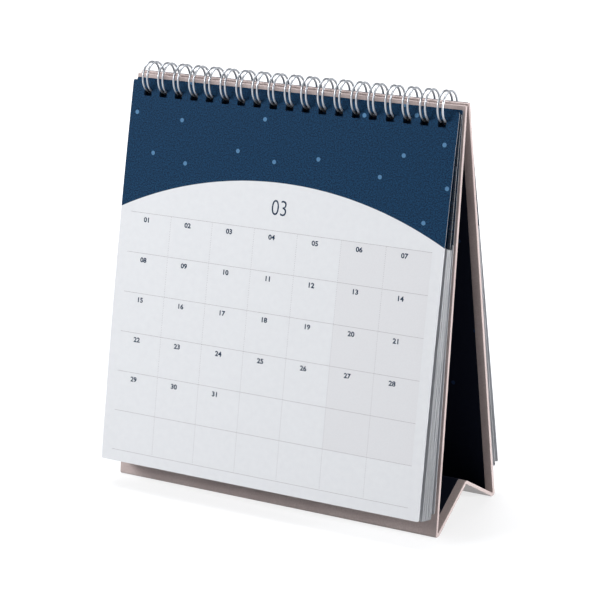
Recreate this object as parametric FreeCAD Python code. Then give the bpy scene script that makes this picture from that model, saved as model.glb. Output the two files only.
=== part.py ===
import FreeCAD, Part
import math
import os
from FreeCAD import Vector

# Desk calendar: a wrapped-board easel with an inverted V base, a twin-loop wire along its top,
# and one leaf to a month. X runs along the wire, the open page faces -Y, Z is up, and the stand
# rests on z = 0. All sizes are in millimetres.

# Stand, seen from its end. The corners are those of the outside face.
stand_width = 170.0
front_top = (-2.2, 190.0)
back_top = (2.1, 190.6)
fold_outside = 30.0
fold_inside = 26.8
ridge_height = 15.5
fold_radius = 1.2
ridge_radius = 0.8
top_edge_radius = 0.5

# Layers of the stand, outside to inside.
paper = 0.2
greyboard = 1.3
turn_in_width = 15.0
hinge_gap = 2.0
lining_margin = 4.0
lining_top_margin = 3.0

# Wire.
ring_centre = (-2.4, 188.75)
ring_radius = 7.0
wire_radius = 0.475
strand_spacing = 2.4
root_angle = -17.4
tip_angle = 331.2

# Punching.
finger_count = 19
finger_pitch = 25.4 / 3
hole_width = 4.0
hole_height = 3.5
board_hole_depth = 6.9

# Leaves.
leaf_width = 168.8
leaf_height = 179.0
leaf_thickness = 0.2
leaf_corner = 0.8
hole_margin = 3.6
punched_off_centre = 0.4
hang_radius = 6.25
ink = 0.1

# Leaves still in front, from the open page to the one on the board: month, y at the wire, y at the
# bottom, and how far the middle bows towards +Y. The card is springy, so they fan out unevenly.
front_leaf_places = [
    (3, -6.4, -44.2, -1.5),
    (4, -6.1, -41.0, -0.5),
    (5, -5.78, -39.9, -0.45),
    (6, -5.47, -38.9, -0.25),
    (7, -5.18, -37.6, -0.35),
    (8, -4.91, -36.7, -0.2),
    (9, -4.64, -35.4, -0.3),
    (10, -4.37, -34.4, -0.1),
    (11, -4.1, -33.2, -0.15),
    (12, -3.35, -29.6, -0.1),
]
last_leaf_lift = 2.05
open_leaf_lift = 0.15
open_leaf_slide = 0.2

# Leaves turned over behind, from the board outwards: name, y at the wire, y at the bottom.
turned_leaves = [
    ("cover_leaf", 3.07, 29.9),
    ("month_leaf_01", 3.32, 32.2),
    ("month_leaf_02", 3.57, 35.1),
]
turned_bow = 0.3

# Print of the open page: x from the middle of the holes, and distances down from the top edge.
hill_radius = 192.8
hill_crest = 39.5
grid_top = 61.1
row_height = 18.75
row_count = 6
column_left = -79.2
column_width = 22.5
column_count = 7
grid_line = 0.3
dot_radius = 1.0
sky_bottom = 66.0
sky_dots = [
    (-81.0, 15.0), (-70.0, 33.0), (-56.0, 16.5), (-52.0, 36.0), (-24.5, 27.5), (-12.0, 12.0), (-5.0, 30.5),
    (17.5, 27.0), (38.1, 5.5), (49.0, 31.5), (59.5, 21.0), (72.5, 49.0), (78.5, 14.5), (82.0, 33.0),
]

board_stack = paper + greyboard + paper
full_stack = board_stack + paper
through = 400.0


def point(y, z, x=0.0):
    return Vector(x, y, z)


def direction(start, end):
    length = math.dist(start, end)
    return ((end[0] - start[0]) / length, (end[1] - start[1]) / length)


def moved(start, way, distance):
    return (start[0] + way[0] * distance, start[1] + way[1] * distance)


def left_of(way):
    return (-way[1], way[0])


def outside_path():
    return [
        front_top,
        (-fold_outside, 0.0),
        (-fold_inside, 0.0),
        (0.0, ridge_height),
        (fold_inside, 0.0),
        (fold_outside, 0.0),
        back_top,
    ]


# The path's corners, moved inwards by depth, with its two ends cut back by shortening.
def path_corners(depth, shortening=0.0):
    path = outside_path()
    ways = [direction(path[i], path[i + 1]) for i in range(len(path) - 1)]
    corners = [moved(moved(path[0], ways[0], shortening), left_of(ways[0]), depth)]
    for i in range(1, len(path) - 1):
        before = left_of(ways[i - 1])
        after = left_of(ways[i])
        spread = 1.0 + before[0] * after[0] + before[1] * after[1]
        mitre = (before[0] + after[0], before[1] + after[1])
        corners.append(moved(path[i], mitre, depth / spread))
    corners.append(moved(moved(path[-1], ways[-1], -shortening), left_of(ways[-1]), depth))
    return corners


def path_radii(depth, end_radius):
    fold = max(fold_radius - depth, 0.0)
    return [end_radius, fold, fold, ridge_radius + depth, fold, fold, end_radius]


# A closed outline in the end view, each corner rounded by its radius.
def rounded_outline(corners, radii):
    arcs = {}
    ends = []
    count = len(corners)
    for i in range(count):
        corner = corners[i]
        back = direction(corner, corners[i - 1])
        ahead = direction(corner, corners[(i + 1) % count])
        half = math.acos(max(-1.0, min(1.0, back[0] * ahead[0] + back[1] * ahead[1]))) / 2
        radius = radii[i]
        if radius < 0.05:
            ends.append((corner, corner))
            continue
        tangent = radius / math.tan(half)
        start = moved(corner, back, tangent)
        end = moved(corner, ahead, tangent)
        bisector = direction((0, 0), (back[0] + ahead[0], back[1] + ahead[1]))
        middle = moved(corner, bisector, radius / math.sin(half) - radius)
        arcs[i] = Part.Arc(point(*start), point(*middle), point(*end)).toShape()
        ends.append((start, end))
    ordered = []
    for i in range(count):
        if i in arcs:
            ordered.append(arcs[i])
        ordered.append(Part.makeLine(point(*ends[i][1]), point(*ends[(i + 1) % count][0])))
    return Part.Wire(ordered)


def extruded(outline, width):
    solid = Part.Face(outline).extrude(Vector(width, 0, 0))
    solid.translate(Vector(-width / 2, 0, 0))
    return solid


# The layer of the stand between two depths, across the given width.
def layer(near, far, width, shortening=0.0, end_radius=0.0):
    corners = path_corners(near, shortening) + path_corners(far, shortening)[::-1]
    radii = path_radii(near, end_radius) + path_radii(far, end_radius)[::-1]
    return extruded(rounded_outline(corners, radii), width)


# A flat slab along one side of the path, between two depths.
def slab(start, end, near, far, start_gap, end_gap, width):
    way = direction(start, end)
    inward = left_of(way)
    first = moved(start, way, start_gap)
    last = moved(end, way, -end_gap)
    corners = [moved(first, inward, near), moved(last, inward, near)]
    corners += [moved(last, inward, far), moved(first, inward, far)]
    return extruded(rounded_outline(corners, [0.0] * 4), width)


def finger_positions():
    first = -(finger_count - 1) / 2 * finger_pitch
    return [first + i * finger_pitch for i in range(finger_count)]


def in_row(hole):
    holes = []
    for x in finger_positions():
        copy = hole.copy()
        copy.translate(Vector(x, 0, 0))
        holes.append(copy)
    return Part.makeCompound(holes)


def board_holes():
    path = outside_path()
    top = board_hole_depth - hole_width / 2
    clear = 0.5
    holes = []
    for start, end in ((path[0], path[1]), (path[-1], path[-2])):
        side = 1.0 if start == path[0] else -1.0
        length = math.dist(start, end)
        near, far = sorted((-side * clear, side * (full_stack + clear)))
        holes.append(slab(start, end, near, far, top, length - top - hole_width, hole_width))
    return in_row(Part.makeCompound(holes))


def stand_cover():
    whole = layer(0.0, board_stack, stand_width, 0.0, top_edge_radius)
    inner_radius = top_edge_radius - paper
    room = layer(paper, paper + greyboard, stand_width - 2 * paper, paper, inner_radius)
    window_width = stand_width - 2 * turn_in_width
    window = layer(paper + greyboard / 2, full_stack, window_width, turn_in_width)
    return whole.cut([room, window, board_holes()])


def greyboard_slab(start, end, start_gap, end_gap):
    width = stand_width - 2 * paper
    return slab(start, end, paper, paper + greyboard, start_gap, end_gap, width)


def greyboards():
    front, fold_a, fold_b, ridge, fold_c, fold_d, back = outside_path()
    holes = board_holes()
    top_gap = top_edge_radius
    return {
        "front_greyboard": greyboard_slab(front, fold_a, top_gap, hinge_gap).cut(holes),
        "base_front_greyboard": greyboard_slab(fold_b, ridge, hinge_gap, hinge_gap),
        "base_back_greyboard": greyboard_slab(ridge, fold_c, hinge_gap, hinge_gap),
        "back_greyboard": greyboard_slab(fold_d, back, hinge_gap, top_gap).cut(holes),
    }


# The lining lies over the turn-ins and is pressed down on the greyboard between them.
def stand_lining():
    sheet = layer(board_stack, full_stack, stand_width - 2 * lining_margin, lining_top_margin)
    window_width = stand_width - 2 * turn_in_width
    pressed = layer(paper + greyboard, board_stack, window_width, turn_in_width)
    return sheet.fuse(pressed).removeSplitter().cut(board_holes())


# Angles round the ring start below its centre and grow towards the front.
def ring_point(angle, radius, x=0.0):
    turn = math.radians(angle)
    y = ring_centre[0] - radius * math.sin(turn)
    z = ring_centre[1] - radius * math.cos(turn)
    return point(y, z, x)


# The way along the ring as the angle grows.
def ring_way(angle):
    turn = math.radians(angle)
    return Vector(0, -math.cos(turn), math.sin(turn))


def strand(x, start, end):
    middle = ring_point((start + end) / 2, ring_radius, x)
    return Part.Arc(
        ring_point(start, ring_radius, x), middle, ring_point(end, ring_radius, x)
    ).toShape()


# A quarter bend between a strand's start and a root bar beside it.
def root_bend(x, side):
    bend = strand_spacing / 2
    start = root_angle + math.degrees(bend / ring_radius)
    foot = ring_point(start, ring_radius, x)
    down = ring_way(start) * -bend
    out = Vector(side * bend, 0, 0)
    middle = foot + out * (1 - math.sqrt(0.5)) + down * math.sqrt(0.5)
    return Part.Arc(foot, middle, foot + out + down).toShape()


def tip_bend(x):
    bend = strand_spacing / 2
    end = tip_angle - math.degrees(bend / ring_radius)
    left = ring_point(end, ring_radius, x - bend)
    right = ring_point(end, ring_radius, x + bend)
    return Part.Arc(left, (left + right) * 0.5 + ring_way(end) * bend, right).toShape()


def wire_path():
    bend = strand_spacing / 2
    start = root_angle + math.degrees(bend / ring_radius)
    end = tip_angle - math.degrees(bend / ring_radius)
    edges = []
    last_end = None
    for x in finger_positions():
        first_bend = root_bend(x - bend, -1)
        last_bend = root_bend(x + bend, 1)
        if last_end is not None:
            edges.append(Part.makeLine(last_end, first_bend.Vertexes[-1].Point))
        edges += [first_bend, strand(x - bend, start, end), tip_bend(x)]
        edges += [strand(x + bend, start, end), last_bend]
        last_end = last_bend.Vertexes[-1].Point
    return edges


def swept(edge):
    start = edge.valueAt(edge.FirstParameter)
    way = edge.tangentAt(edge.FirstParameter)
    disc = Part.Face(Part.Wire(Part.makeCircle(wire_radius, start, way)))
    if edge.Curve.TypeId == "Part::GeomLine":
        return disc.extrude(way * edge.Length)
    turn = math.degrees(edge.Length / edge.Curve.Radius)
    return disc.revolve(edge.Curve.Center, edge.Curve.Axis, turn)


def binding_wire():
    pieces = [swept(edge) for edge in wire_path()]
    return pieces[0].fuse(pieces[1:])


# A leaf's end view: a shallow bow towards +Y, or towards -Y where bow is negative, from its top
# edge at the origin.
def bowed_layer(bow, near, far, width):
    bow_radius = (leaf_height ** 2 / 4 + bow ** 2) / (2 * bow)
    centre = bow - bow_radius
    half_angle = math.asin(leaf_height / 2 / bow_radius)
    edges = []
    ends = []
    for depth in (near, far):
        radius = bow_radius - depth
        at = [(centre + radius * math.cos(a), -leaf_height / 2 + radius * math.sin(a))
              for a in (half_angle, 0.0, -half_angle)]
        edges.append(Part.Arc(point(*at[0]), point(*at[1]), point(*at[2])).toShape())
        ends.append((point(*at[0]), point(*at[2])))
    bottom = Part.makeLine(ends[0][1], ends[1][1])
    top = Part.makeLine(ends[1][0], ends[0][0])
    return extruded(Part.Wire([edges[0], bottom, edges[1], top]), width)


def rounded_corners(leaf):
    corners = [edge for edge in leaf.Edges if abs(edge.Length - leaf_thickness) < 0.01]
    return leaf.makeFillet(leaf_corner, corners)


def leaf_holes():
    clear = 3.0
    hole = Part.makeBox(hole_width, 2 * clear, hole_height)
    hole.translate(Vector(-hole_width / 2, -clear, -hole_margin - hole_height))
    return in_row(hole)


# x = 0 is the middle of the row of holes, and the sheet lies off to -X of it.
def leaf(bow):
    sheet = rounded_corners(bowed_layer(bow, -leaf_thickness / 2, leaf_thickness / 2, leaf_width))
    sheet.translate(Vector(-punched_off_centre, 0, 0))
    return sheet.cut(leaf_holes())


# Hangs a shape in leaf coordinates from the wire: the holes' top edges rest on the ring's inside
# at hang_y, or lift above it, and the bottom edge comes to bottom_y.
def hung(shape, hang_y, bottom_y, lift=0.0):
    reach = hang_y - ring_centre[0]
    hang_z = ring_centre[1] - math.sqrt(hang_radius ** 2 - reach ** 2) + lift
    below = leaf_height - hole_margin
    tilt = math.degrees(math.asin((hang_y - bottom_y) / below))
    placed = shape.copy()
    placed.translate(Vector(0, 0, hole_margin))
    placed.rotate(Vector(0, 0, 0), Vector(1, 0, 0), -tilt)
    placed.translate(Vector(0, hang_y, hang_z))
    return placed


# The open page: the sheet or its print, slid to -X by the play in its holes.
def hung_in_front(shape):
    hang_y, bottom_y = front_leaf_places[0][1:3]
    placed = hung(shape, hang_y, bottom_y, open_leaf_lift)
    placed.translate(Vector(-open_leaf_slide, 0, 0))
    return placed


# The last leaf clings to the board a little above its hanging place.
def front_leaves():
    first_month, first_bow = front_leaf_places[0][0], front_leaf_places[0][3]
    leaves = {f"month_leaf_{first_month:02d}": hung_in_front(leaf(first_bow))}
    for place in front_leaf_places[1:]:
        month, hang_y, bottom_y, bow = place
        lift = last_leaf_lift if place == front_leaf_places[-1] else 0.0
        leaves[f"month_leaf_{month:02d}"] = hung(leaf(bow), hang_y, bottom_y, lift)
    return leaves


def rear_leaves():
    sheet = leaf(turned_bow)
    return {name: hung(sheet, hang_y, bottom_y) for name, hang_y, bottom_y in turned_leaves}


# Flat shapes of the print, drawn in x and in the distance down from the leaf's top edge.
def drawn(corners):
    points = [point(0.0, -down, x) for x, down in corners]
    return Part.Face(Part.makePolygon(points + points[:1]))


def rectangle(left, right, top, bottom):
    return drawn([(left, top), (right, top), (right, bottom), (left, bottom)])


def disc(x, down, radius):
    return Part.Face(Part.Wire(Part.makeCircle(radius, point(0.0, -down, x), Vector(0, 1, 0))))


# A print layer: the drawn faces, laid on the open page's front as the given coat of ink.
def printed(faces, coat):
    clear = 4.0
    prisms = []
    for face in faces:
        prism = face.extrude(Vector(0, 2 * clear, 0))
        prism.translate(Vector(0, -clear, 0))
        prisms.append(prism)
    stamp = prisms[0].fuse(prisms[1:]) if len(prisms) > 1 else prisms[0]
    surface = leaf_thickness / 2
    bow = front_leaf_places[0][3]
    wide = leaf_width + 2 * punched_off_centre
    coat_layer = bowed_layer(bow, surface + coat * ink, surface + (coat + 1) * ink, wide)
    return hung_in_front(coat_layer.common(stamp))


def sky_print():
    inset = leaf_corner / 2
    edge = leaf_width / 2 - inset
    sheet = rectangle(-edge - punched_off_centre, edge - punched_off_centre, inset, sky_bottom)
    hill = disc(0.0, hill_crest + hill_radius, hill_radius)
    sky = sheet.cut(hill)
    half = hole_width / 2
    holes = [rectangle(x - half, x + half, hole_margin, hole_margin + hole_height)
             for x in finger_positions()]
    return printed([sky.cut(holes)], 0)


def dot_print():
    return printed([disc(x, down, dot_radius) for x, down in sky_dots], 1)


def weekend_print():
    left = column_left + 5 * column_width
    right = column_left + column_count * column_width
    return printed([rectangle(left, right, grid_top, grid_top + 5 * row_height)], 0)


def grid_print():
    half = grid_line / 2
    bottom = grid_top + row_count * row_height
    right = column_left + column_count * column_width
    lines = []
    for row in range(row_count + 1):
        down = grid_top + row * row_height
        lines.append(rectangle(column_left, right, down - half, down + half))
    for column in range(1, column_count):
        x = column_left + column * column_width
        lines.append(rectangle(x - half, x + half, grid_top, bottom))
    return printed(lines, 1)


def calendar_parts():
    parts = {"stand_cover": stand_cover(), "stand_lining": stand_lining()}
    parts.update(greyboards())
    parts["binding_wire"] = binding_wire()
    parts.update(front_leaves())
    parts.update(rear_leaves())
    parts["sky_print"] = sky_print()
    parts["dot_print"] = dot_print()
    parts["weekend_print"] = weekend_print()
    parts["grid_print"] = grid_print()
    return parts


# The origin is under the middle of the whole calendar's box.
def main():
    os.makedirs("parts", exist_ok=True)
    parts = calendar_parts()
    box = Part.makeCompound(list(parts.values())).optimalBoundingBox(False)
    shift = -(box.YMin + box.YMax) / 2
    print(f"shift {shift:.4f}, hinge y {ring_centre[0] + shift:.4f}, z {ring_centre[1]:.4f}")
    for name, shape in parts.items():
        shape.translate(Vector(0, shift, 0))
        shape.exportStep(f"parts/{name}.step")
        volume = shape.Volume / 1000
        print(f"{name}: {len(shape.Solids)} solid(s), {volume:.3f} cm3, valid {shape.isValid()}")


main()
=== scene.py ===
import bpy
import bmesh
import math
from mathutils import Matrix, Vector


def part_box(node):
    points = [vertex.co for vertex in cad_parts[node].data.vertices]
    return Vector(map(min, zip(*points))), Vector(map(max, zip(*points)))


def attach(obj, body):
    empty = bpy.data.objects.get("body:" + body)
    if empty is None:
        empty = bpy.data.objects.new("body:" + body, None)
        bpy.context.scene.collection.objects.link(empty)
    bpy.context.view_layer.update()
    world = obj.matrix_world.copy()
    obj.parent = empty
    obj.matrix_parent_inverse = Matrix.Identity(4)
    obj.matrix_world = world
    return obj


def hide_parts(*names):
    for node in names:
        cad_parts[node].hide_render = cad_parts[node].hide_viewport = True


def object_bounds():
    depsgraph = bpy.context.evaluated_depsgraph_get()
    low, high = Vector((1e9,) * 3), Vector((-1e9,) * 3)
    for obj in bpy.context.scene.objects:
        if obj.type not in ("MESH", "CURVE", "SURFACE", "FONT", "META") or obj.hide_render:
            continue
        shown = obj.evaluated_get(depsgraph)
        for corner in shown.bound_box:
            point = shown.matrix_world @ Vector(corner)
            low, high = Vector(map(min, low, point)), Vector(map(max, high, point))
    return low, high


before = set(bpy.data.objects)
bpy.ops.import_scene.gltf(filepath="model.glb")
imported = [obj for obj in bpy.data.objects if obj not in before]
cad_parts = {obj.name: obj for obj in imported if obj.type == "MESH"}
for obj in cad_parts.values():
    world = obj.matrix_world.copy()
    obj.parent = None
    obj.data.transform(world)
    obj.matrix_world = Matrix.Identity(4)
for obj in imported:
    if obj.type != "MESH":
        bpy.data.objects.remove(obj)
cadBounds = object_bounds()
mm = 0.001
right = Vector((1, 0, 0))


def boxOf(node):
    low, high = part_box(node)
    return Vector(low), Vector(high)


def linearColour(hexColour):
    channels = [int(hexColour[i:i + 2], 16) / 255 for i in (1, 3, 5)]
    return [c / 12.92 if c <= 0.04045 else ((c + 0.055) / 1.055) ** 2.4 for c in channels] + [1.0]


def addNode(material, kind, inputs=None, **settings):
    node = material.node_tree.nodes.new("ShaderNode" + kind)
    for name, value in settings.items():
        setattr(node, name, value)
    for name, value in (inputs or {}).items():
        if isinstance(value, bpy.types.NodeSocket):
            material.node_tree.links.new(value, node.inputs[name])
        else:
            node.inputs[name].default_value = value
    return node


def newMaterial(name, roughness, metallic=0.0, ior=1.5):
    material = bpy.data.materials.new(name)
    material.use_nodes = True
    shader = material.node_tree.nodes["Principled BSDF"]
    shader.inputs["Roughness"].default_value = roughness
    shader.inputs["Metallic"].default_value = metallic
    if metallic == 0.0:
        shader.inputs["IOR"].default_value = ior
    return material, shader


def connect(material, output, target):
    material.node_tree.links.new(output, target)


def blend(material, factor, first, second):
    return addNode(material, "Mix", {0: factor, 6: first, 7: second}, data_type="RGBA").outputs[2]


def calculate(material, operation, *values):
    node = addNode(material, "Math", dict(enumerate(values)), operation=operation)
    return node.outputs["Value"]


def objectPlace(material):
    return addNode(material, "TexCoord").outputs["Object"]


leafForm = {
    "width": 168.8,
    "height": 179.0,
    "thickness": 0.2,
    "corner": 0.8,
    "holeMargin": 3.6,
    "holeWidth": 4.0,
    "holeHeight": 3.5,
    "punchedOffCentre": 0.4,
    "holeCount": 19,
    "holePitch": 25.4 / 3,
    "rows": 24,
    "frontBows": [-1.5, -0.5, -0.45, -0.25, -0.35, -0.2, -0.3, -0.1, -0.15, -0.1],
    "turnedBow": 0.3,
    "wave": 0.16,
    "waveLength": 9.0,
    "wavePhase": 2.4,
}


def holePlaces():
    first = -(leafForm["holeCount"] - 1) / 2 * leafForm["holePitch"]
    return [first + i * leafForm["holePitch"] for i in range(leafForm["holeCount"])]


def cutAlong(sheet, place, normal):
    geometry = sheet.verts[:] + sheet.edges[:] + sheet.faces[:]
    bmesh.ops.bisect_plane(sheet, geom=geometry, dist=1e-5, plane_co=place, plane_no=normal)


# flat sheet in millimetres: x from the middle of the holes, -y down from the top edge
def flatLeaf():
    form = leafForm
    sheet = bmesh.new()
    bmesh.ops.create_grid(sheet, x_segments=1, y_segments=1, size=0.5)
    bmesh.ops.scale(sheet, vec=(form["width"], form["height"], 1), verts=sheet.verts)
    middle = (-form["punchedOffCentre"], -form["height"] / 2, 0)
    bmesh.ops.translate(sheet, vec=middle, verts=sheet.verts)
    bmesh.ops.bevel(sheet, geom=sheet.verts[:], offset=form["corner"], segments=4,
                    affect="VERTICES", profile=0.5, material=-1)
    holeTop = form["holeMargin"]
    holeBottom = holeTop + form["holeHeight"]
    for x in holePlaces():
        for side in (-0.5, 0.5):
            cutAlong(sheet, (x + side * form["holeWidth"], 0, 0), (1, 0, 0))
    for down in (holeTop, holeBottom):
        cutAlong(sheet, (0, -down, 0), (0, 1, 0))
    rowHeight = (form["height"] - holeBottom) / form["rows"]
    for row in range(1, form["rows"]):
        cutAlong(sheet, (0, -holeBottom - row * rowHeight, 0), (0, 1, 0))
    punched = []
    for face in sheet.faces:
        middle = face.calc_center_median()
        inRow = holeTop < -middle.y < holeBottom
        if inRow and any(abs(middle.x - x) < form["holeWidth"] / 2 for x in holePlaces()):
            punched.append(face)
    bmesh.ops.delete(sheet, geom=punched, context="FACES")
    return sheet


# 0 for the open page, up to 9 for the leaf on the board, and none for the turned leaves
def placeInFront(node):
    month = int(node[-2:]) if node[-2:].isdigit() else 0
    return month - 3 if month >= 3 else None


# a leaf's top and bottom edges in line with the middle of its holes, from its box
def leafEnds(node):
    low, high = boxOf(node)
    middle = (low.x + high.x) / 2 + leafForm["punchedOffCentre"] * mm
    half = leafForm["thickness"] / 2 * mm
    lean = math.atan2(high.y - low.y, high.z - low.z)
    inset = Vector((0, half * math.cos(lean), half * math.sin(lean)))
    if placeInFront(node) is not None:
        return Vector((middle, high.y, high.z)) - inset, Vector((middle, low.y, low.z)) + inset
    flipped = Vector((0, -inset.y, inset.z))
    return Vector((middle, low.y, high.z)) - flipped, Vector((middle, high.y, low.z)) + flipped


# turns (x, down, lift) in millimetres into a place on the hung leaf
def hangLeaf(node):
    top, bottom = leafEnds(node)
    chord = bottom - top
    length = chord.length / mm
    down = chord.normalized()
    outwards = Vector((0, -down.z, down.y))
    order = placeInFront(node)
    bow = leafForm["turnedBow"] if order is None else leafForm["frontBows"][order]
    radius = (length ** 2 / 4 + bow ** 2) / (2 * bow)
    halfAngle = math.asin(length / 2 / radius)

    # the card's edges ripple a little, each leaf its own way; the open page is flat across
    def ripple(x, distance):
        across = (2 * x / leafForm["width"]) ** 2
        along = math.sin(math.pi * distance / leafForm["height"])
        phase = distance / leafForm["waveLength"] + leafForm["wavePhase"] * order
        return leafForm["wave"] * across * along * math.sin(phase)

    def place(x, distance, lift=0.0):
        angle = halfAngle * (1 - 2 * distance / leafForm["height"])
        reach = radius - lift - (ripple(x, distance) if order else 0.0)
        along = length / 2 - reach * math.sin(angle)
        across = bow - radius + reach * math.cos(angle)
        return right * x * mm + top + down * along * mm + outwards * across * mm

    return place


def finishPiece(mesh, name, body, material, smooth=True):
    data = bpy.data.meshes.new(name)
    mesh.to_mesh(data)
    mesh.free()
    for item in material if isinstance(material, list) else [material]:
        data.materials.append(item)
    for polygon in data.polygons:
        polygon.use_smooth = smooth
    piece = bpy.data.objects.new(name, data)
    bpy.context.scene.collection.objects.link(piece)
    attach(piece, body)
    return piece


def bentOnto(mesh, place, lift):
    for vert in mesh.verts:
        vert.co = place(vert.co.x, -vert.co.y, lift)


def addLeafMap(sheet):
    leafMap = sheet.loops.layers.uv.new("leafMap")
    for face in sheet.faces:
        for loop in face.loops:
            flat = loop.vert.co
            across = (flat.x + leafForm["punchedOffCentre"]) / leafForm["width"] + 0.5
            loop[leafMap].uv = (across, 1 + flat.y / leafForm["height"])


def makeLeaf(flat, node, name, body, materials, extra=()):
    sheet = bmesh.new()
    sheet.from_mesh(flat)
    bentOnto(sheet, hangLeaf(node), 0.0)
    leaf = finishPiece(sheet, name, body, materials, smooth=False)
    card = leaf.modifiers.new("cardThickness", "SOLIDIFY")
    card.thickness = leafForm["thickness"] * mm
    card.offset = 0
    card.use_even_offset = True
    card.material_offset_rim = 1
    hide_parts(node, *extra)
    return leaf


printForm = {
    "hillRadius": 192.8,
    "hillCrest": 39.5,
    "navy": "#174468",
    "navyDeep": "#081E35",
    "white": "#EDEFF2",
    "whiteShade": "#E5E7EB",
    "dotBlue": "#5E8AB2",
    "dotCell": 24.0,
    "dotRadius": 1.0,
    "dotScatter": 0.85,
    "grain": 0.6,
    "mottleRange": (0.41, 0.59),
    "hillSoftness": 0.06,
}

cutForm = {
    "fibreDark": "#CDCFD4",
    "fibreLight": "#F0F1F3",
    # painted shade for the dim insides of the punched holes
    "punched": "#0B1420",
    "litEdge": 0.25,
    "sideStrip": 1.0,
}


# the leaf's own flat millimetres: x from the middle of the holes, y up from the top edge
def leafMillimetres(material):
    spot = addNode(material, "UVMap", uv_map="leafMap").outputs["UV"]
    return addNode(material, "Mapping", {
        "Vector": spot,
        "Location": (-leafForm["width"] / 2 - leafForm["punchedOffCentre"], -leafForm["height"], 0),
        "Scale": (leafForm["width"], leafForm["height"], 1),
    }).outputs["Vector"]


# 1 in the printed sky, 0 on the bare hill
def skyMask(material, millimetres):
    hillCentre = (0, -(printForm["hillCrest"] + printForm["hillRadius"]), 0)
    fromHill = addNode(material, "VectorMath", {
        0: millimetres, 1: hillCentre,
    }, operation="DISTANCE")
    return addNode(material, "MapRange", {
        "Value": fromHill.outputs["Value"],
        "From Min": printForm["hillRadius"] - printForm["hillSoftness"],
        "From Max": printForm["hillRadius"] + printForm["hillSoftness"],
    }).outputs["Result"]


# 1 in the scattered dots, 0 between them; place and unit say how long a millimetre is
def dotMask(material, place, unit):
    dots = addNode(material, "TexVoronoi", {
        "Vector": place, "Scale": 1 / (printForm["dotCell"] * unit),
        "Randomness": printForm["dotScatter"],
    }, voronoi_dimensions="2D")
    reach = printForm["dotRadius"] / printForm["dotCell"]
    return calculate(material, "LESS_THAN", dots.outputs["Distance"], reach)


# uncoated card, offset printed: matte, with a fine mottle in the ink and a faint one in the white
def printedCard(name, dotShift):
    form = printForm
    material, shader = newMaterial(name, 0.7, ior=1.2)
    toMillimetres = leafMillimetres(material)
    sky = skyMask(material, toMillimetres)
    mottle = addNode(material, "TexNoise", {
        "Vector": toMillimetres, "Scale": 1 / form["grain"], "Detail": 4.0, "Roughness": 0.75,
    }).outputs["Fac"]
    inkMix = addNode(material, "MapRange", {
        "Value": mottle, "From Min": form["mottleRange"][0], "From Max": form["mottleRange"][1],
    }).outputs["Result"]
    navy = blend(material, inkMix, linearColour(form["navyDeep"]), linearColour(form["navy"]))
    if dotShift:
        shifted = addNode(material, "Mapping", {
            "Vector": toMillimetres, "Location": (dotShift, dotShift / 3, 0),
        }).outputs["Vector"]
        isDot = dotMask(material, shifted, 1)
        navy = blend(material, isDot, navy, linearColour(form["dotBlue"]))
    pulp = addNode(material, "TexNoise", {"Vector": toMillimetres, "Scale": 0.35, "Detail": 5.0})
    white = blend(material, pulp.outputs["Fac"],
                  linearColour(form["whiteShade"]), linearColour(form["white"]))
    connect(material, blend(material, sky, white, navy), shader.inputs["Base Color"])
    tooth = addNode(material, "Bump", {"Height": mottle, "Strength": 0.12, "Distance": 0.00005})
    connect(material, tooth.outputs["Normal"], shader.inputs["Normal"])
    return material


# cut edge of the card: bare fibres, tinted along the sky by the ink, and on the dark-edged leaves
# by ink with painted shade;
# painted shade darkens the holes' tops and sides, and their lower edges keep the bare colour and
# catch the light
def cutCard(name, skyEdge):
    form = cutForm
    material, shader = newMaterial(name, 0.8, ior=1.3)
    millimetres = leafMillimetres(material)
    fibre = addNode(material, "TexNoise", {"Vector": millimetres, "Scale": 1.1, "Detail": 2.0})
    bare = blend(material, fibre.outputs["Fac"],
                 linearColour(form["fibreDark"]), linearColour(form["fibreLight"]))
    edge = blend(material, skyMask(material, millimetres), bare, linearColour(skyEdge))
    parts = addNode(material, "SeparateXYZ", {"Vector": millimetres}).outputs
    holeMiddle = leafForm["holeMargin"] + leafForm["holeHeight"] / 2
    inRow = calculate(material, "COMPARE", parts["Y"], form["litEdge"] - holeMiddle,
                      leafForm["holeHeight"] / 2)
    offSides = calculate(material, "COMPARE", parts["X"], 0.0,
                         leafForm["width"] / 2 - form["sideStrip"])
    inHole = calculate(material, "MULTIPLY", inRow, offSides)
    # painted shade: the holes' tops and sides are darkened, their lower edges left bare
    shade = blend(material, inHole, edge, linearColour(form["punched"]))
    connect(material, shade, shader.inputs["Base Color"])
    return material


# flat ink on the open page: the same matte card under it, one colour with a slight mottle
def inkMaterial(name, hexLight, hexDark):
    material, shader = newMaterial(name, 0.7, ior=1.2)
    mottle = addNode(material, "TexNoise", {
        "Vector": objectPlace(material), "Scale": 1 / (printForm["grain"] * mm),
    }).outputs["Fac"]
    shade = blend(material, mottle, linearColour(hexDark), linearColour(hexLight))
    connect(material, shade, shader.inputs["Base Color"])
    return material


pageForm = {
    "gridTop": 61.1,
    "rowHeight": 18.75,
    "rowCount": 6,
    "columnLeft": -79.2,
    "columnWidth": 22.5,
    "columnCount": 7,
    "weekendColumns": 2,
    "weekendRows": 5,
    "tintCuts": 12,
    "lineWidth": 0.13,
    "dotWidth": 0.32,
    "dotPitch": 0.8,
    "numberHeight": 2.35,
    "numberInset": 7.6,
    "numberSpread": 1.1,
    "numberWeight": 0.03,
    "numberDrop": 1.9,
    "titleHeight": 6.9,
    "titleSpread": 0.86,
    "titleWeight": -0.008,
    "titleDrop": 47.2,
    "dayCount": 31,
    "inkLift": 0.03,
    "dotSides": 20,
    "skyDots": [
        (-81.0, 15.0), (-70.0, 33.0), (-56.0, 16.5), (-52.0, 36.0), (-24.5, 27.5),
        (-12.0, 12.0), (-5.0, 30.5), (17.5, 27.0), (38.1, 5.5), (63.6, 3.1), (49.0, 31.5),
        (59.5, 21.0), (72.5, 49.0), (78.5, 14.5), (82.0, 33.0),
    ],
}


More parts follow.
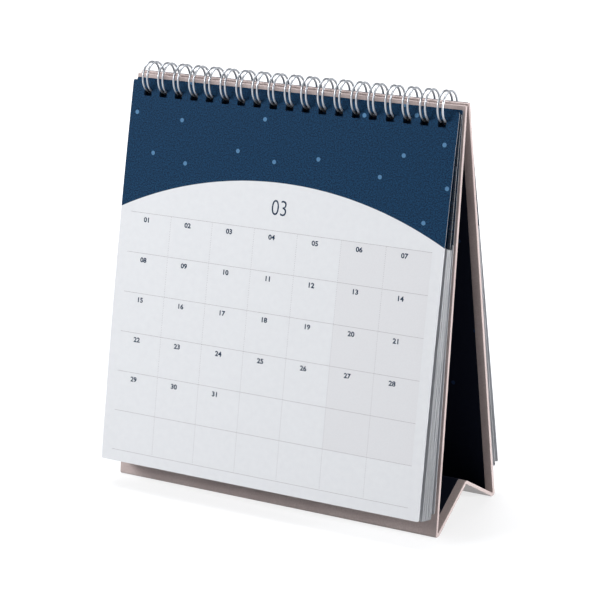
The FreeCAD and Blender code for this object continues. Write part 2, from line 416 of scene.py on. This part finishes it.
def addPatch(mesh, left, rightEnd, top, bottom, cuts=1):
    grid = bmesh.ops.create_grid(mesh, x_segments=1, y_segments=cuts, size=0.5)
    bmesh.ops.scale(mesh, vec=(rightEnd - left, bottom - top, 1), verts=grid["verts"])
    middle = ((left + rightEnd) / 2, -(top + bottom) / 2, 0)
    bmesh.ops.translate(mesh, vec=middle, verts=grid["verts"])


# words of a given height, with x at their left end or at their middle, and stretched sideways
def addText(mesh, words, height, x, top, weight, stretch, centred=False):
    curve = bpy.data.curves.new("words", "FONT")
    curve.body = words
    curve.offset = weight
    curve.resolution_u = 4
    writing = bpy.data.objects.new("words", curve)
    bpy.context.scene.collection.objects.link(writing)
    bpy.context.view_layer.update()
    drawn = bpy.data.meshes.new_from_object(writing)
    highest = max(v.co.y for v in drawn.vertices)
    lowest = min(v.co.y for v in drawn.vertices)
    middle = (max(v.co.x for v in drawn.vertices) + min(v.co.x for v in drawn.vertices)) / 2
    scale = height / (highest - lowest)
    across = scale * stretch
    shift = x - (middle * across if centred else 0.0)
    drawn.transform(Matrix.Translation((shift, -top - height - lowest * scale, 0))
                    @ Matrix.Diagonal((across, scale, 1, 1)))
    mesh.from_mesh(drawn)
    bpy.data.objects.remove(writing)
    bpy.data.curves.remove(curve)
    bpy.data.meshes.remove(drawn)


def printOnPage(mesh, place, name, material, slot, lift, *nodes):
    bmesh.ops.recalc_face_normals(mesh, faces=mesh.faces)
    bentOnto(mesh, place, leafForm["thickness"] / 2 + lift)
    bmesh.ops.recalc_face_normals(mesh, faces=mesh.faces)
    piece = finishPiece(mesh, name, "open_page", material, smooth=False)
    if nodes:
        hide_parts(*nodes)
    return piece


def makePagePrint(place, inks):
    form = pageForm
    top = form["gridTop"]
    bottom = top + form["rowCount"] * form["rowHeight"]
    leftSide = form["columnLeft"]
    rightSide = leftSide + form["columnCount"] * form["columnWidth"]

    tint = bmesh.new()
    tintLeft = rightSide - form["weekendColumns"] * form["columnWidth"]
    tintBottom = top + form["weekendRows"] * form["rowHeight"]
    addPatch(tint, tintLeft, rightSide, top, tintBottom, form["tintCuts"])
    printOnPage(tint, place, "weekendTint", inks["tint"], "tint_ink", form["inkLift"] / 2,
                "weekend_print")

    lines = bmesh.new()
    half = form["lineWidth"] / 2
    for row in range(form["rowCount"] + 1):
        down = top + row * form["rowHeight"]
        addPatch(lines, leftSide, rightSide, down - half, down + half)
    dot = form["dotWidth"] / 2
    for column in range(1, form["columnCount"]):
        x = leftSide + column * form["columnWidth"]
        for step in range(int((bottom - top) / form["dotPitch"])):
            down = top + (step + 0.5) * form["dotPitch"]
            addPatch(lines, x - dot, x + dot, down - dot / 2, down + dot / 2)
    printOnPage(lines, place, "dayGridLines", inks["line"], "line_ink", form["inkLift"],
                "grid_print")

    numbers = bmesh.new()
    for day in range(form["dayCount"]):
        column = day % form["columnCount"]
        row = day // form["columnCount"]
        addText(numbers, "%02d" % (day + 1), form["numberHeight"],
                leftSide + column * form["columnWidth"] + form["numberInset"],
                top + row * form["rowHeight"] + form["numberDrop"],
                form["numberWeight"], form["numberSpread"])
    printOnPage(numbers, place, "dayNumbers", inks["letter"], "navy_ink", form["inkLift"])

    title = bmesh.new()
    addText(title, "03", form["titleHeight"], 0.0, form["titleDrop"],
            form["titleWeight"], form["titleSpread"], centred=True)
    printOnPage(title, place, "monthNumber", inks["letter"], "navy_ink", form["inkLift"])

    dots = bmesh.new()
    for x, down in form["skyDots"]:
        circle = bmesh.ops.create_circle(dots, cap_ends=True, segments=form["dotSides"],
                                         radius=printForm["dotRadius"])
        bmesh.ops.translate(dots, vec=(x, -down, 0), verts=circle["verts"])
    printOnPage(dots, place, "skyDots", inks["dot"], "pale_blue_ink", form["inkLift"], "dot_print")


wireForm = {
    "loopRadius": 7.0,
    "wireRadius": 0.475,
    "strandSpacing": 2.4,
    "rootAngle": -17.4,
    "tipAngle": 331.2,
    "sides": 12,
    "loopSteps": 44,
    "bendSteps": 5,
    "silverDeep": "#A9ADB4",
    "silver": "#C0C4CA",
    "edgeTint": "#6E7278",
    "gloss": (0.3, 0.42),
}


def wireCentre():
    low, high = boxOf("binding_wire")
    radius = (wireForm["loopRadius"] + wireForm["wireRadius"]) * mm
    return Vector((0, low.y + radius, high.z - radius))


def loopPoint(centre, angle):
    turn = math.radians(angle)
    return centre + Vector((0, -math.sin(turn), -math.cos(turn))) * wireForm["loopRadius"] * mm


def loopHeading(angle):
    turn = math.radians(angle)
    return Vector((0, -math.cos(turn), math.sin(turn)))


def spun(wire, edges, centre, axis, degrees, steps):
    turned = bmesh.ops.spin(wire, geom=edges, cent=centre, axis=axis,
                            angle=math.radians(degrees), steps=steps,
                            use_merge=False, use_duplicate=False)
    return [item for item in turned["geom_last"] if isinstance(item, bmesh.types.BMEdge)]


def addLoop(wire, centre, x):
    form = wireForm
    bend = form["strandSpacing"] / 2 * mm
    bendAngle = math.degrees(form["strandSpacing"] / 2 / form["loopRadius"])
    start = form["rootAngle"] + bendAngle
    sweep = form["tipAngle"] - bendAngle - start
    across = right * x * mm
    foot = loopPoint(centre, start) + across
    heading = loopHeading(start)
    bendAxis = right.cross(heading)
    barEnd = foot - right * (2 * bend) - heading * bend
    section = bmesh.ops.create_circle(wire, segments=form["sides"],
                                      radius=form["wireRadius"] * mm)
    bmesh.ops.rotate(wire, verts=section["verts"], cent=(0, 0, 0),
                     matrix=Matrix.Rotation(math.radians(90), 3, "Y"))
    bmesh.ops.translate(wire, verts=section["verts"], vec=barEnd)
    first = list({edge for vert in section["verts"] for edge in vert.link_edges})
    edges = spun(wire, first, foot - right * (2 * bend), bendAxis, 90, form["bendSteps"])
    edges = spun(wire, edges, centre + across, -right, sweep, form["loopSteps"])
    tipHeading = loopHeading(start + sweep)
    tipCentre = loopPoint(centre, start + sweep) + across
    edges = spun(wire, edges, tipCentre, tipHeading.cross(right), 180, 2 * form["bendSteps"])
    edges = spun(wire, edges, centre + across, right, sweep, form["loopSteps"])
    last = spun(wire, edges, foot + right * (2 * bend), bendAxis, 90, form["bendSteps"])
    return first, last


# nylon-coated steel wire, silver: a smooth bright coat that still reads as metal
def wireMaterial():
    form = wireForm
    material, shader = newMaterial("silverCoatedSteelWire", 0.35, metallic=0.8)
    haze = addNode(material, "TexNoise", {
        "Vector": objectPlace(material), "Scale": 400.0, "Detail": 2.0,
    }).outputs["Fac"]
    shade = blend(material, haze, linearColour(form["silverDeep"]), linearColour(form["silver"]))
    shader.inputs["Specular Tint"].default_value = linearColour(form["edgeTint"])
    connect(material, shade, shader.inputs["Base Color"])
    gloss = addNode(material, "MapRange", {
        "Value": haze, "To Min": form["gloss"][0], "To Max": form["gloss"][1],
    })
    connect(material, gloss.outputs["Result"], shader.inputs["Roughness"])
    return material


def makeWire():
    wire = bmesh.new()
    centre = wireCentre()
    ends = [addLoop(wire, centre, x) for x in holePlaces()]
    for i in range(len(ends) - 1):
        bmesh.ops.bridge_loops(wire, edges=ends[i][1] + ends[i + 1][0])
    bmesh.ops.holes_fill(wire, edges=ends[0][0] + ends[-1][1], sides=wireForm["sides"])
    bmesh.ops.recalc_face_normals(wire, faces=wire.faces)
    piece = finishPiece(wire, "twinLoopWire", "stand", wireMaterial())
    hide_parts("binding_wire")
    return piece


standForm = {
    "edgeRound": 0.3,
    "taupe": "#C3B4B1",
    "taupeDeep": "#AF9F9D",
    "paperCloud": (0.12, 0.4),
    # the lining's navy darkened near black with painted shade for the tent's dim inside
    "liningNavyAndShade": "#060B1C",
    "liningDot": "#1F3557",
    "pulpDark": "#7E7A74",
    "pulpLight": "#A39E96",
}


# laminated book-binding paper over board: a satin sheen on the turned edges, fine even grain
def coverPaper():
    form = standForm
    material, shader = newMaterial("taupeWrappingPaper", 0.3, ior=1.35)
    place = objectPlace(material)
    grain = addNode(material, "TexNoise", {"Vector": place, "Scale": 1400.0, "Detail": 3.0})
    cloud = addNode(material, "TexNoise", {"Vector": place, "Scale": 40.0, "Detail": 2.0})
    mixed = calculate(material, "MULTIPLY", grain.outputs["Fac"], cloud.outputs["Fac"])
    spread = addNode(material, "MapRange", {
        "Value": mixed, "From Min": form["paperCloud"][0], "From Max": form["paperCloud"][1],
    }).outputs["Result"]
    shade = blend(material, spread, linearColour(form["taupeDeep"]), linearColour(form["taupe"]))
    connect(material, shade, shader.inputs["Base Color"])
    tooth = addNode(material, "Bump", {
        "Height": grain.outputs["Fac"], "Strength": 0.15, "Distance": 0.00004,
    })
    connect(material, tooth.outputs["Normal"], shader.inputs["Normal"])
    return material


# printed lining paper: flat navy, darkened near black with painted shade, with the same scatter of
# dots, laid in each panel's plane
def liningPaper():
    material, shader = newMaterial("navyLiningPaper", 0.75, ior=1.25)
    parts = addNode(material, "SeparateXYZ", {"Vector": objectPlace(material)}).outputs
    facing = addNode(material, "SeparateXYZ", {
        "Vector": addNode(material, "NewGeometry").outputs["True Normal"],
    }).outputs["Z"]
    steep = calculate(material, "LESS_THAN", facing, 0.5)
    second = addNode(material, "Mix", {0: steep, 2: parts["Y"], 3: parts["Z"]}, data_type="FLOAT")
    inPanel = addNode(material, "CombineXYZ", {"X": parts["X"], "Y": second.outputs[0]})
    isDot = dotMask(material, inPanel.outputs["Vector"], mm)
    shade = blend(material, isDot, linearColour(standForm["liningNavyAndShade"]),
                  linearColour(standForm["liningDot"]))
    connect(material, shade, shader.inputs["Base Color"])
    return material


# raw greyboard inside the cover: coarse recycled pulp
def greyboardMaterial():
    material, shader = newMaterial("rawGreyboard", 0.9)
    pulp = addNode(material, "TexNoise", {
        "Vector": objectPlace(material), "Scale": 700.0, "Detail": 4.0,
    }).outputs["Fac"]
    shade = blend(material, pulp, linearColour(standForm["pulpDark"]),
                  linearColour(standForm["pulpLight"]))
    connect(material, shade, shader.inputs["Base Color"])
    return material


# the solid cover with its rims along the two sides rounded
def makeCover(material):
    solid = bmesh.new()
    solid.from_mesh(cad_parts["stand_cover"].data)
    bmesh.ops.remove_doubles(solid, verts=solid.verts, dist=1e-6)
    bmesh.ops.dissolve_limit(solid, angle_limit=math.radians(0.5),
                             verts=solid.verts, edges=solid.edges)
    side = boxOf("stand_cover")[1].x - 1e-5
    rims = [edge for edge in solid.edges
            if all(abs(v.co.x) > side for v in edge.verts)
            and edge.is_manifold and edge.calc_face_angle(0) > math.radians(60)]
    bmesh.ops.bevel(solid, geom=rims, offset=standForm["edgeRound"] * mm, segments=3,
                    affect="EDGES", profile=0.5, material=-1, clamp_overlap=True)
    manySided = [face for face in solid.faces if len(face.verts) > 4]
    bmesh.ops.triangulate(solid, faces=manySided)
    piece = finishPiece(solid, "wrappedCover", "stand", material)
    piece.data.set_sharp_from_angle(angle=math.radians(35))
    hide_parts("stand_cover")
    return piece


def paintNode(node, material):
    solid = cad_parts[node]
    solid.data.materials.clear()
    solid.data.materials.append(material)


stageForm = {
    "floorColour": "#86878A",
    "floorLift": (0.76, 1.0),
    "floorFade": (0.1, 0.5),
    "worldStrength": 0.11,
    "ceilingRise": (0.15, 0.45),
    "ceilingGlow": (1.0, 0.12),
    "lamps": [
        {"name": "windowLamp", "at": (-1.5, -1.5, 1.25), "size": 1.0, "power": 56},
        {"name": "edgeLamp", "at": (1.7, 0.09, 0.4), "size": 0.15, "power": 35},
        {"name": "topLamp", "at": (-0.3, 0.35, 1.8), "size": 0.8, "power": 28},
    ],
    "cameraAt": (507.89, -855.91, 392.49),
    "cameraYaw": -0.5362,
    "cameraPitch": 0.2945,
    "cameraRoll": -0.0173,
    "cameraLens": 135.5,
}


# 1 for the rays that show the backdrop in metal and in glass
def mirroredRays(material, path):
    return calculate(material, "MAXIMUM", path["Is Glossy Ray"], path["Is Transmission Ray"])


def makeFloor():
    form = stageForm
    ground = bmesh.new()
    bmesh.ops.create_grid(ground, x_segments=8, y_segments=8, size=3.0)
    data = bpy.data.meshes.new("paleFloor")
    ground.to_mesh(data)
    ground.free()
    material, shader = newMaterial("paleFloorPaint", 0.7)
    shader.inputs["Base Color"].default_value = linearColour(form["floorColour"])
    away = addNode(material, "VectorMath", {0: objectPlace(material)}, operation="LENGTH")
    lift = addNode(material, "MapRange", {
        "Value": away.outputs["Value"],
        "From Min": form["floorFade"][0], "From Max": form["floorFade"][1],
        "To Min": form["floorLift"][0], "To Max": form["floorLift"][1],
    }, interpolation_type="SMOOTHSTEP").outputs["Result"]
    path = addNode(material, "LightPath").outputs
    seen = calculate(material, "MAXIMUM", path["Is Camera Ray"], mirroredRays(material, path))
    strength = calculate(material, "MULTIPLY", seen, lift)
    glow = addNode(material, "Emission", {"Strength": strength})
    both = addNode(material, "AddShader", {
        0: shader.outputs["BSDF"], 1: glow.outputs["Emission"],
    })
    surface = material.node_tree.nodes["Material Output"].inputs["Surface"]
    connect(material, both.outputs["Shader"], surface)
    data.materials.append(material)
    floor = bpy.data.objects.new("paleFloor", data)
    bpy.context.scene.collection.objects.link(floor)


# white where the camera looks; in reflections the same white backdrop stands all round, up to a
# dark ceiling, and only a little of it lights the calendar
def makeWorld():
    world = bpy.data.worlds.new("studioWorld")
    bpy.context.scene.world = world
    world.use_nodes = True
    backdrop = world.node_tree.nodes["Background"]
    backdrop.inputs["Color"].default_value = (1.0, 1.0, 1.0, 1.0)
    path = addNode(world, "LightPath").outputs
    height = addNode(world, "SeparateXYZ", {
        "Vector": addNode(world, "TexCoord").outputs["Generated"],
    }).outputs["Z"]
    glow = addNode(world, "MapRange", {
        "Value": height,
        "From Min": stageForm["ceilingRise"][0], "From Max": stageForm["ceilingRise"][1],
        "To Min": stageForm["ceilingGlow"][0], "To Max": stageForm["ceilingGlow"][1],
    }, interpolation_type="SMOOTHSTEP").outputs["Result"]
    unseen = addNode(world, "Mix", {
        0: mirroredRays(world, path), 2: stageForm["worldStrength"], 3: glow,
    }, data_type="FLOAT").outputs[0]
    strength = addNode(world, "Mix", {
        0: path["Is Camera Ray"], 2: unseen, 3: 1.0,
    }, data_type="FLOAT").outputs[0]
    connect(world, strength, backdrop.inputs["Strength"])


def makeLamps(target):
    for lamp in stageForm["lamps"]:
        light = bpy.data.lights.new(lamp["name"], "AREA")
        light.size = lamp["size"]
        light.energy = lamp["power"]
        item = bpy.data.objects.new(lamp["name"], light)
        item.location = lamp["at"]
        item.rotation_euler = (target - item.location).to_track_quat("-Z", "Y").to_euler()
        bpy.context.scene.collection.objects.link(item)


# the camera's place is from the middle of the stand's two bottom folds
def makeCamera():
    low, high = boxOf("stand_cover")
    middle = Vector((0, (low.y + high.y) / 2, 0))
    yaw = stageForm["cameraYaw"]
    pitch = stageForm["cameraPitch"]
    roll = stageForm["cameraRoll"]
    reach = math.cos(pitch)
    forward = Vector((math.sin(yaw) * reach, math.cos(yaw) * reach, -math.sin(pitch)))
    level = Vector((math.cos(yaw), -math.sin(yaw), 0))
    upright = level.cross(forward)
    across = level * math.cos(roll) + upright * math.sin(roll)
    above = upright * math.cos(roll) - level * math.sin(roll)
    lens = bpy.data.cameras.new("viewLens")
    lens.lens = stageForm["cameraLens"]
    lens.clip_start = 0.05
    camera = bpy.data.objects.new("viewCamera", lens)
    turn = Matrix((across, above, -forward)).transposed().to_4x4()
    camera.matrix_world = Matrix.Translation(Vector(stageForm["cameraAt"]) * mm + middle) @ turn
    bpy.context.scene.collection.objects.link(camera)
    bpy.context.scene.camera = camera


flatSheet = flatLeaf()
addLeafMap(flatSheet)
flat = bpy.data.meshes.new("flatLeaf")
flatSheet.to_mesh(flat)
flatSheet.free()
edgeCard = cutCard("cutCardEdge", "#A9ADB5")
# near-black sky edges: the ink's tint with painted shade between the stacked leaves
inkedShadedEdge = cutCard("inkedShadedCardEdge", "#0A0F18")
# leaves that keep the light grey sky edge; the other leaves get the painted shade
lightEdgedMonths = (8, 12)
dotShiftPerMonth = 31.0
openCard = printedCard("openPageCard", 0)
makeLeaf(flat, "month_leaf_03", "openPage", "open_page", [openCard, edgeCard], ["sky_print"])
for month in range(4, 13):
    card = printedCard("printedCard%02d" % month, month * dotShiftPerMonth)
    cut = edgeCard if month in lightEdgedMonths else inkedShadedEdge
    makeLeaf(flat, "month_leaf_%02d" % month, "monthLeaf%02d" % month, "stand", [card, cut])
turnedCard = printedCard("turnedPageCard", 17.0)
makeLeaf(flat, "cover_leaf", "coverLeaf", "stand", [turnedCard, edgeCard])
makeLeaf(flat, "month_leaf_01", "monthLeaf01", "stand", [turnedCard, edgeCard])
makeLeaf(flat, "month_leaf_02", "turnedPage", "turned_page", [turnedCard, edgeCard])
bpy.data.meshes.remove(flat)
print("leaves made")

inks = {
    "tint": inkMaterial("weekendTintInk", "#E9EAED", "#E2E3E7"),
    "line": inkMaterial("gridLineInk", "#AEABB0", "#9C999F"),
    "letter": inkMaterial("navyLetterInk", "#17324F", "#122A45"),
    "dot": inkMaterial("paleBlueDotInk", "#5E8AB2", "#527FA7"),
}
makePagePrint(hangLeaf("month_leaf_03"), inks)
print("page printed")

makeWire()
print("wire bent")

makeCover(coverPaper())
paintNode("stand_lining", liningPaper())
boardMaterial = greyboardMaterial()
for board in ("front_greyboard", "base_front_greyboard", "base_back_greyboard", "back_greyboard"):
    paintNode(board, boardMaterial)
print("stand wrapped")

makeFloor()
makeWorld()
low, high = cadBounds
makeLamps((Vector(low) + Vector(high)) / 2)
makeCamera()
bpy.context.scene.view_settings.view_transform = "Standard"
print("stage set")
